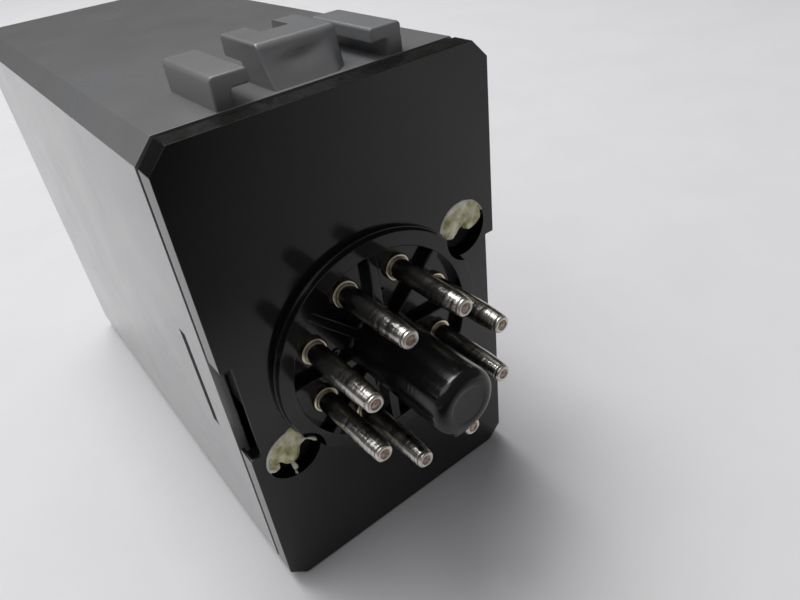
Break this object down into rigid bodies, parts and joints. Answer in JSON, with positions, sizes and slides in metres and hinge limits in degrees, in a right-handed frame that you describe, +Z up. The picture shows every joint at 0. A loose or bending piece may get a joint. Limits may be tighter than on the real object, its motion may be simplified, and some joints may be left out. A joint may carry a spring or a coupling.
{
  "type": "plug-in control relay",
  "caption": "Box-shaped plug-in control relay with an octal pin plug and key post on a black end plate, a grey push-on case with clip rails, and a switching relay inside.",
  "frame": {"origin": "middle of the footprint on the surface that the relay lies on, under the centre of its bounding box", "axes": "+Z up from the plain side that it lies on to the side with the clip rails; +Y along the box from the plug end to the closed front end; +X to the right as seen at the pins"},
  "size_m": [0.0354, 0.0886, 0.0598],
  "materials": {
    "case_grey": "fine satin moulding",
    "plug_black": "glossy black moulding",
    "pin_nickel": "nickel plated, scuffed near the tips",
    "seal_clear": "cream translucent sealant",
    "screw_black": "black oxide",
    "zinc_steel": "zinc plated",
    "board": "glass-epoxy laminate",
    "core_steel": "varnished laminations",
    "black_moulding": "matt black moulding",
    "winding": "enamelled copper under tape",
    "contact": "bare spring bronze",
    "capacitor_sleeve": "shrunk plastic sleeve",
    "label": "blank satin plate",
    "lamp_red": "clear red lens",
    "wire_sleeve": "insulated"
  },
  "bodies": {
    "base": {"plug_base": "plug_black", "pin_1": "pin_nickel", "pin_2": "pin_nickel", "pin_3": "pin_nickel", "pin_4": "pin_nickel", "pin_5": "pin_nickel", "pin_6": "pin_nickel", "pin_7": "pin_nickel", "pin_8": "pin_nickel", "seal_upper": "seal_clear", "seal_lower": "seal_clear", "base_screw_upper": "screw_black", "base_screw_lower": "screw_black", "chassis": "zinc_steel", "board_screw_1": "zinc_steel", "board_screw_2": "zinc_steel", "board_screw_3": "zinc_steel", "board_screw_4": "zinc_steel", "relay_yoke": "zinc_steel", "relay_core": "zinc_steel", "power_board": "board", "relay_board": "board", "transformer_core": "core_steel", "transformer_bobbin": "black_moulding", "relay_header": "black_moulding", "relay_bobbin": "black_moulding", "bridge_rectifier": "black_moulding", "comparator_chip": "black_moulding", "transformer_winding": "winding", "relay_coil": "winding", "make_contact": "contact", "break_contact": "contact", "return_spring": "contact", "filter_capacitor": "capacitor_sleeve", "indicator_led": "lamp_red", "wire_1": "wire_sleeve", "wire_2": "wire_sleeve", "wire_3": "wire_sleeve", "wire_4": "wire_sleeve", "wire_5": "wire_sleeve", "wire_6": "wire_sleeve", "wire_7": "wire_sleeve", "wire_8": "wire_sleeve"},
    "case": {"case": "case_grey", "front_label": "label"},
    "armature": {"armature": "zinc_steel", "moving_contact": "contact"}
  },
  "joints": [
    {"name": "case_slide", "type": "slide", "parent": "base", "child": "case", "axis": [0, 1, 0], "range_m": [0, 0.075]},
    {"name": "armature_hinge", "type": "hinge", "parent": "base", "child": "armature", "pos_m": [0.00453, 0.00995, 0.03905], "axis": [0, 0, -1], "range_deg": [0, 3.5], "stiffness_Nm_per_rad": 0.02, "springref_deg": -5.73}
  ]
}
